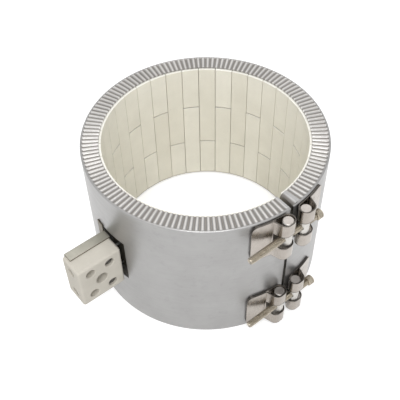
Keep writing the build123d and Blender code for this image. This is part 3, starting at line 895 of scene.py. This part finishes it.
def strap_path():
    """Mid line of the folded strap on the +Y side, from the inner ply's end to the outer ply's."""
    inner_r = SHELL_R + STRAP_SEAT + STRAP_SHEET / 2
    outer_r = inner_r + STRAP_SHEET + PLY_GAP
    loop_r = BARREL_R + LOOP_CLEARANCE + STRAP_SHEET / 2
    barrel_angle = math.atan2(BARREL_Y, BARREL_X)
    origin = Vector((0, 0))
    pin = Vector((BARREL_X, BARREL_Y))
    slack = pin + Vector((0, LOOP_SLACK))
    neck_angle = math.asin((BARREL_Y + NECK_REACH) / (outer_r + NECK_BEND))
    neck = Vector((math.cos(neck_angle), math.sin(neck_angle))) * (outer_r + NECK_BEND)
    away = neck - slack
    leave = math.atan2(away.y, away.x) - math.acos((loop_r + NECK_BEND) / away.length)

    def arc(centre, radius, start, end, steps):
        angles = [start + (end - start) * k / steps for k in range(steps + 1)]
        return [centre + radius * Vector((math.cos(a), math.sin(a))) for a in angles]

    path = arc(origin, inner_r, PLATE_END_ANGLE, barrel_angle, steps=24)
    path += arc(pin, loop_r, barrel_angle + math.pi, TURN, steps=18)[1:]
    path += arc(slack, loop_r, 0.0, leave, steps=10)
    path += arc(neck, NECK_BEND, leave + math.pi, neck_angle + math.pi, steps=6)
    path += arc(origin, outer_r, neck_angle, PLATE_END_ANGLE, steps=20)[1:]
    return path


def fold_straps(side, node_name):
    path = strap_path()
    reach = [0.0]
    for a, b in zip(path, path[1:]):
        reach.append(reach[-1] + (b - a).length)

    def half_width(s):
        end = min(s, reach[-1] - s, PLATE_CORNER)
        return STRAP_HALF - PLATE_CORNER + math.sqrt(PLATE_CORNER ** 2 - (PLATE_CORNER - end) ** 2)

    def build(bm):
        sheet_shade_mark = bm.verts.layers.float.new("painted_sheet_shade")
        for level in CLAMP_LEVELS:
            columns = [[bm.verts.new((spot.x, side * spot.y, level + half_width(s) * t))
                        for t in STRAP_ROWS] for spot, s in zip(path, reach)]
            for k in range(len(columns) - 1):
                a, b = columns[k], columns[k + 1]
                over_loop = (path[k].x + path[k + 1].x) / 2 > STRAP_OUTSIDE
                for m in range(len(STRAP_ROWS) - 1):
                    in_window = abs(STRAP_ROWS[m] + STRAP_ROWS[m + 1]) / 2 < STRAP_WINDOW
                    if in_window and over_loop:
                        continue
                    corners = (a[m], b[m], b[m + 1], a[m + 1])
                    bm.faces.new(corners if side > 0 else tuple(reversed(corners)))
        loose = [v for v in bm.verts if not v.link_faces]
        bmesh.ops.delete(bm, geom=loose, context="VERTS")
        # the boundary marks paint a shade line along the strap's edges
        for v in bm.verts:
            v[sheet_shade_mark] = 1.0 if v.is_boundary else 0.0

    strap = shaped(node_name + "_folded", build)
    thicken(strap, STRAP_SHEET, edge=STRAP_EDGE)
    place(strap, 35, "strap", STRAP_METAL, node_name)


# Barrel pins

def turn_pins(node_name, side, levels, hole_r):
    end_r = BARREL_R - PIN_CHAMFER
    end_z = BARREL_HALF - PIN_CHAMFER
    sections = ((end_r, -BARREL_HALF), (BARREL_R, -end_z), (BARREL_R, end_z), (end_r, BARREL_HALF))

    def build(bm):
        painted_end_mark = bm.verts.layers.float.new("pin_end_painted_shade")
        for level in levels:
            rings = [[bm.verts.new((BARREL_X + x, side * BARREL_Y + y, level + z))
                      for x, y in circle(r, PIN_SIDES)] for r, z in sections]
            skin(bm, rings)
            # the end rings carry painted shade over the end faces, to tone down their highlight
            for v in rings[0] + rings[-1]:
                v[painted_end_mark] = 1.0

    def holes(bm):
        for level in levels:
            start = Vector((BARREL_X, side * BARREL_Y - 2 * BARREL_R, level))
            end = start + Vector((0, 4 * BARREL_R, 0))
            bore_cutter(bm, start, end, hole_r, sides=PIN_DRILL_SIDES)

    pin = shaped(node_name + "_turned", build)
    cut_with(pin, pin_drill=holes)
    place(pin, 30, "barrel", PIN_STEEL, node_name)


# Clamp screws with rolled threads and knurled heads

def thread_tree():
    """Rolls a thread into a rod, with a blunt point at its lower end."""
    tree = Tree("rolled_thread", Around=THREAD_SIDES, Along=THREAD_STEPS, Radius=SCREW_R,
                Length=THREAD_PITCH, Pitch=THREAD_PITCH, Depth=THREAD_DEPTH, Point=POINT_LENGTH)
    size = tree.size
    rod = tree.add("GeometryNodeMeshCylinder", {
        "Vertices": size("Around"), "Side Segments": size("Along"),
        "Radius": size("Radius"), "Depth": size("Length")})
    x, y, z = tree.split(tree.here())
    radius, angle = tree.around_axis(x, y)
    turns = tree.minus(tree.math("DIVIDE", z, size("Pitch")), tree.math("DIVIDE", angle, TURN))
    flank = tree.times(tree.math("PINGPONG", turns, 0.5), 2.0)
    cut = tree.ease(flank, THREAD_CREST, THREAD_ROOT)
    low_end = tree.plus(z, tree.times(size("Length"), 0.5))
    point = tree.minus(1.0, tree.ease(low_end, 0.0, size("Point")))
    deepest = tree.math("MAXIMUM", cut, tree.times(point, POINT_DEPTH))
    depth = tree.times(size("Depth"), deepest)
    share = tree.math("DIVIDE", tree.minus(radius, depth), tree.math("MAXIMUM", radius, NO_RADIUS))
    # the thread's cut depth also marks painted shade in its roots
    marked = tree.mark(rod.outputs["Mesh"], "thread_root_painted_shade", cut)
    spot = tree.join(tree.times(x, share), tree.times(y, share), z)
    return tree.end(tree.move(marked, spot), SCREW_STEEL)


def knurled_head(bm, radius):
    """Cylinder head that stands along +Z from 0, knurled round its side."""
    notch_shade_mark = bm.verts.layers.float.new("thread_root_painted_shade")
    steps = len(KNURL_SHAPE)
    around = KNURL_COUNT * steps
    knurl_start = HEAD_EDGE + KNURL_RUN_OUT
    sections = (
        (0.0, radius - HEAD_EDGE, 0.0), (HEAD_EDGE, radius, 0.0),
        (knurl_start, radius, 1.0), (HEAD_LENGTH - knurl_start, radius, 1.0),
        (HEAD_LENGTH - HEAD_EDGE, radius, 0.0),
        (HEAD_LENGTH - HEAD_ROUND_DROP, radius - HEAD_ROUND_INSET, 0.0),
        (HEAD_LENGTH, radius - HEAD_END_INSET, 0.0))
    rings = []
    for z, r, knurl in sections:
        ring = []
        for k in range(around):
            a = TURN * k / around
            notch = KNURL_DEPTH * knurl * KNURL_SHAPE[k % steps]
            v = bm.verts.new(((r - notch) * math.cos(a), (r - notch) * math.sin(a), z))
            # painted shade in the knurl's notches
            v[notch_shade_mark] = notch / KNURL_DEPTH
            ring.append(v)
        rings.append(ring)
    skin(bm, rings)


def hex_cutter(bm):
    skin(bm, [[bm.verts.new((x, y, z)) for x, y in circle(HEX_R, 6)]
              for z in (HEAD_LENGTH - HEX_DEPTH, HEAD_LENGTH + DRILL_START)])


def thread_screw(level_name, tree):
    node_name = "clamp_screw_" + level_name
    low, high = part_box(node_name)
    shank_length = high.y - low.y - HEAD_LENGTH
    screw = new_piece(node_name + "_threaded")
    tree.apply_to(screw, Length=shank_length,
                  Along=int(shank_length / THREAD_PITCH * THREAD_STEPS))
    head = shaped("head", lambda bm: knurled_head(bm, (high.x - low.x) / 2))
    cut_with(head, hex_key=hex_cutter)

    def assemble(bm):
        bmesh.ops.translate(bm, verts=bm.verts, vec=(0, 0, -shank_length / 2))
        bm.from_mesh(head.data)
        # the screw lies along Y with its head on the +Y side
        spot = ((low.x + high.x) / 2, low.y + shank_length, (low.z + high.z) / 2)
        lay = Matrix.Translation(spot) @ Matrix.Rotation(-QUARTER, 4, "X")
        bmesh.ops.transform(bm, matrix=lay, verts=bm.verts)

    rework(screw, assemble)
    bpy.data.objects.remove(head)
    place(screw, 32, "screw", SCREW_STEEL, node_name, body=level_name + "_screw")


# Terminal block and its screws

def mould_block():
    mid_x, mid_y, mid_z = block_mid
    rows = (mid_z + ROW_SPACING / 2, mid_z - ROW_SPACING / 2)
    columns = (mid_y + SCREW_SPACING / 2, mid_y - SCREW_SPACING / 2)
    pocket_end = mid_y - POCKET_REACH

    def body(bm):
        box_cutter(bm, block_low, block_high)
        bmesh.ops.bevel(bm, geom=list(bm.edges), offset=BLOCK_ROUND, segments=4, profile=0.5,
                        affect="EDGES")

    def screw_holes(bm):
        for z in rows:
            for y in columns:
                bore_cutter(bm, Vector((block_high.x, y, z)),
                            Vector((mid_x + SCREW_HOLE_STOP, y, z)), SCREW_HOLE_R, HOLE_RIM)

    def fixing_hole(bm):
        start = Vector((block_high.x, mid_y, mid_z))
        bore_cutter(bm, start, start - Vector((CENTRE_HOLE_DEPTH, 0, 0)), CENTRE_HOLE_R, HOLE_RIM,
                    CENTRE_DRILL_SIDES)

    def shank_hole(bm):
        bore_cutter(bm, Vector((block_low.x - CUT_OVERRUN, mid_y, mid_z)), block_mid, SHANK_HOLE_R,
                    sides=SHANK_DRILL_SIDES)

    def wire_entries(bm):
        for z in rows:
            bore_cutter(bm, Vector((mid_x, block_low.y, z)),
                        Vector((mid_x, pocket_end + DRILL_START, z)), WIRE_ENTRY_R, HOLE_RIM)

    def pockets(bm):
        half = CONNECTOR_POCKET / 2
        for z in rows:
            box_cutter(bm, Vector((mid_x - half, pocket_end, z - half)),
                       Vector((mid_x + half, block_high.y + CUT_OVERRUN, z + half)))

    block = shaped("terminal_block_ceramic", body)
    cut_with(block, screw_drill=screw_holes, fixing_drill=fixing_hole, shank_drill=shank_hole,
             entry_drill=wire_entries, pocket_mill=pockets)
    place(block, 40, "block", BLOCK_CERAMIC, "terminal_block")


def screw_set_tree(centre_y, centre_z):
    """Sets a screw in each of the four holes, the outer two smaller and the inner two raised."""
    tree = Tree("terminal_screw_set", Row_spacing=ROW_SPACING, Screw_spacing=SCREW_SPACING,
                Centre_Y=centre_y, Centre_Z=centre_z, Inner_rise=INNER_RISE,
                Outer_share=OUTER_SHARE, Seed=FIXING_SEED)
    size = tree.size
    grid = tree.add("GeometryNodeMeshGrid", {
        "Size X": size("Screw spacing"), "Size Y": size("Row spacing"),
        "Vertices X": 2, "Vertices Y": 2})
    x, y, _ = tree.split(tree.here())
    rise = tree.times(tree.math("GREATER_THAN", x, 0.0), size("Inner rise"))
    spot = tree.join(rise, tree.plus(x, size("Centre Y")), tree.plus(y, size("Centre Z")))
    moved = tree.move(grid.outputs["Mesh"], spot)
    _, hole_y, _ = tree.split(tree.here())
    inner = tree.math("GREATER_THAN", tree.minus(hole_y, size("Centre Y")), 0.0)
    width = tree.math("MULTIPLY_ADD", inner, tree.minus(1.0, size("Outer share")),
                      size("Outer share"))
    turn = tree.random(size("Seed"), -SLOT_TURN, SLOT_TURN)
    placed = tree.repeat(moved, tree.join(turn, 0.0, 0.0), tree.join(1.0, width, width))
    return tree.end(placed, FIXING_STEEL)


def fit_terminal_screws():
    low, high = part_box("terminal_screws")

    def headed_screw(bm):
        sections = [(low.x + depth * MM, r * MM) for depth, r in TIP_SECTION_MM]
        sections += [(high.x - depth * MM, r * MM) for depth, r in HEAD_SECTION_MM]
        skin(bm, [[bm.verts.new((x, y, z)) for y, z in circle(r, FIXING_SIDES)]
                  for x, r in sections])

    def slot(bm):
        half = DRIVER_SLOT / 2
        box_cutter(bm, Vector((high.x - DRIVER_SLOT, -SCREW_HOLE_R, -half)),
                   Vector((high.x + DRILL_START, SCREW_HOLE_R, half)))

    screws = shaped("terminal_screws_slotted", headed_screw)
    cut_with(screws, slot_mill=slot)
    screw_set_tree((low.y + high.y) / 2, (low.z + high.z) / 2).apply_to(screws)
    place(screws, 30, "fixing", FIXING_STEEL, "terminal_screws")


# Bracket: a plate bent into a lip, and a separate foot strip on the shell

def fold_bracket():
    plate_x = block_low.x - BRACKET_SEAT - BRACKET_SHEET / 2
    lip_z = block_high.z + BRACKET_SEAT + BRACKET_SHEET / 2
    near_y = -(SHELL_R + BRACKET_SEAT)
    far_y = bracket_low.y
    reach = (near_y, near_y - BRACKET_RIM, (near_y + far_y) / 2, far_y + BRACKET_RIM, far_y)
    section = [(plate_x, block_low.z), (plate_x, (block_low.z + lip_z) / 2)]
    for k in range(BRACKET_BEND_STEPS + 1):
        a = QUARTER * k / BRACKET_BEND_STEPS
        section.append((plate_x + BRACKET_BEND * (1 - math.cos(a)),
                        lip_z - BRACKET_BEND * (1 - math.sin(a))))
    section += [(bracket_high.x - BRACKET_RIM, lip_z), (bracket_high.x, lip_z)]
    foot_r = SHELL_R + BRACKET_SEAT + BRACKET_SHEET / 2
    foot_start, foot_end = [math.asin(x / foot_r) - QUARTER for x in (bracket_low.x, plate_x)]

    def sheet(bm, columns):
        for a, b in zip(columns, columns[1:]):
            for k in range(len(a) - 1):
                bm.faces.new((a[k], b[k], b[k + 1], a[k + 1]))

    def build(bm):
        sheet_shade_mark = bm.verts.layers.float.new("painted_sheet_shade")
        sheet(bm, [[bm.verts.new((x, y, z)) for x, z in section] for y in reach])
        foot = []
        for k in range(FOOT_STEPS + 1):
            a = foot_start + (foot_end - foot_start) * k / FOOT_STEPS
            x, y = foot_r * math.cos(a), foot_r * math.sin(a)
            foot.append([bm.verts.new((x, y, WINDOW_Z + t * FOOT_HALF)) for t in (-1.0, 0.0, 1.0)])
        sheet(bm, foot)
        # painted shadow along the lip's edges, and painted shade over the foot
        for v in bm.verts:
            on_lip = v.co.z > block_high.z and v.co.x > plate_x + BRACKET_BEND
            v[sheet_shade_mark] = 1.0 if v.is_boundary and on_lip else 0.0
        for column in foot:
            for v in column:
                v[sheet_shade_mark] = 1.0 if v.is_boundary else FOOT_SHADE_MARK

    bracket = shaped("terminal_bracket_folded", build)
    thicken(bracket, BRACKET_SHEET, edge=BRACKET_EDGE, edge_steps=2)
    place(bracket, 35, "bracket", BRACKET_METAL, "terminal_bracket")


# Spot welds that hold the strap plates to the shell

def weld_tree():
    tree = Tree("strap_spot_welds", Plate_radius=STRAP_OUTSIDE, Plate_angle=WELD_ANGLE,
                Clamp_height=CLAMP_Z, Weld_spacing=WELD_SPACING, Welds=WELD_COUNT)
    size = tree.size
    points = tree.add("GeometryNodePoints", {"Count": size("Welds")})
    index = tree.index()

    def sign(step):
        odd = tree.math("MODULO", tree.math("FLOOR", tree.math("DIVIDE", index, step)), 2.0)
        return tree.math("MULTIPLY_ADD", odd, 2.0, -1.0)

    angle = tree.times(sign(1.0), size("Plate angle"))
    height = tree.plus(tree.times(sign(2.0), size("Clamp height")),
                       tree.times(sign(4.0), tree.times(size("Weld spacing"), 0.5)))
    moved = tree.move(points.outputs[0], tree.polar(size("Plate radius"), angle, height))
    return tree.end(tree.repeat(moved, tree.join(0.0, 0.0, angle)), STRAP_METAL)


def weld_straps():
    def nugget(bm):
        sheet_shade_mark = bm.verts.layers.float.new("painted_sheet_shade")
        rings = []
        for x, share, painted_darkness in WELD_SECTION:
            ring = [bm.verts.new((x * MM, y, z)) for y, z in circle(share * WELD_R, WELD_SIDES)]
            # painted shade round the weld's rim and in its dip
            for v in ring:
                v[sheet_shade_mark] = painted_darkness
            rings.append(ring)
        skin(bm, rings)

    welds = shaped("strap_spot_welds", nugget)
    weld_tree().apply_to(welds)
    place(welds, 60, "strap", STRAP_METAL)


def paint_frame_nodes():
    """CAD pieces that are shown as they are."""
    for node_name, material in (
        ("insulation_blanket", FIBRE), ("lead_wires", WIRE_METAL),
        ("terminal_insert_upper", BRASS), ("terminal_insert_lower", BRASS),
        ("block_screw", FIXING_STEEL),
    ):
        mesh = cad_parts[node_name].data
        mesh.materials.clear()
        mesh.materials.append(material)


# Floor, light and camera

def background_rays(tree):
    """1 for rays that show the white background: straight, mirrored or through glass."""
    path = node(tree, "ShaderNodeLightPath")
    shown = path.outputs["Is Camera Ray"]
    for kind in ("Is Glossy Ray", "Is Transmission Ray"):
        either = node(tree, "ShaderNodeMath", operation="MAXIMUM")
        link(tree, shown, either.inputs[0])
        link(tree, path.outputs[kind], either.inputs[1])
        shown = either.outputs[0]
    return shown


def stage_floor():
    material, tree, shader = new_material("white_floor")
    glow = node(tree, "ShaderNodeMath", operation="MULTIPLY")
    glow.inputs[1].default_value = FLOOR_GLOW
    link(tree, background_rays(tree), glow.inputs[0])
    shader.inputs["Base Color"].default_value = (*grey(FLOOR_TONE), 1.0)
    shader.inputs["Roughness"].default_value = 0.9
    shader.inputs["Specular IOR Level"].default_value = 0.0
    shader.inputs["Emission Color"].default_value = (*WHITE, 1.0)
    link(tree, glow.outputs[0], shader.inputs["Emission Strength"])

    def build(bm):
        corners = ((-1, -1), (1, -1), (1, 1), (-1, 1))
        bm.faces.new([bm.verts.new((x * FLOOR_HALF, y * FLOOR_HALF, -HALF_HEIGHT - FLOOR_GAP))
                      for x, y in corners])

    floor = shaped("studio_floor", build)
    floor.data.materials.append(material)


def aimed(spot, aim):
    """Turn of a lamp or camera that looks from spot to aim."""
    return (Vector(aim) - Vector(spot)).to_track_quat("-Z", "Y")


def studio_light():
    world = bpy.data.worlds.new("studio")
    bpy.context.scene.world = world
    world.use_nodes = True
    tree = world.node_tree
    back = tree.nodes["Background"]
    back.inputs["Color"].default_value = (*WHITE, 1.0)
    level = node(tree, "ShaderNodeMix", data_type="FLOAT")
    level.inputs[2].default_value = WORLD_LEVEL
    level.inputs[3].default_value = 1.0
    link(tree, background_rays(tree), level.inputs[0])
    link(tree, level.outputs[0], back.inputs["Strength"])
    for name, spot, power in LAMPS:
        data = bpy.data.lights.new(name, "AREA")
        data.shape = "DISK"
        data.size = LAMP_SIZE
        data.energy = power
        lamp = linked(name, data)
        lamp.location = spot
        lamp.rotation_euler = aimed(spot, (0, 0, 0)).to_euler()


def photo_camera():
    data = bpy.data.cameras.new("photo_camera")
    data.sensor_width = CAMERA_SENSOR
    data.lens = CAMERA_LENS
    data.clip_start = CAMERA_NEAR
    camera = linked("photo_camera", data)
    camera.location = CAMERA_SPOT
    camera.rotation_mode = "QUATERNION"
    roll = Matrix.Rotation(CAMERA_ROLL, 4, "Z").to_quaternion()
    camera.rotation_quaternion = aimed(CAMERA_SPOT, CAMERA_AIM) @ roll
    bpy.context.scene.camera = camera


press_shell()
cut_tiles()
fold_straps(1, "straps_right")
fold_straps(-1, "straps_left")
turn_pins("nut_barrel_upper", -1, CLAMP_LEVELS[:1], NUT_HOLE_R)
turn_pins("nut_barrel_lower", -1, CLAMP_LEVELS[1:], NUT_HOLE_R)
turn_pins("plain_barrels", 1, CLAMP_LEVELS, PLAIN_HOLE_R)
thread = thread_tree()
thread_screw("upper", thread)
thread_screw("lower", thread)
weld_straps()
fold_bracket()
mould_block()
fit_terminal_screws()
paint_frame_nodes()
stage_floor()
studio_light()
photo_camera()

scene = bpy.context.scene
scene.view_settings.view_transform = "Standard"
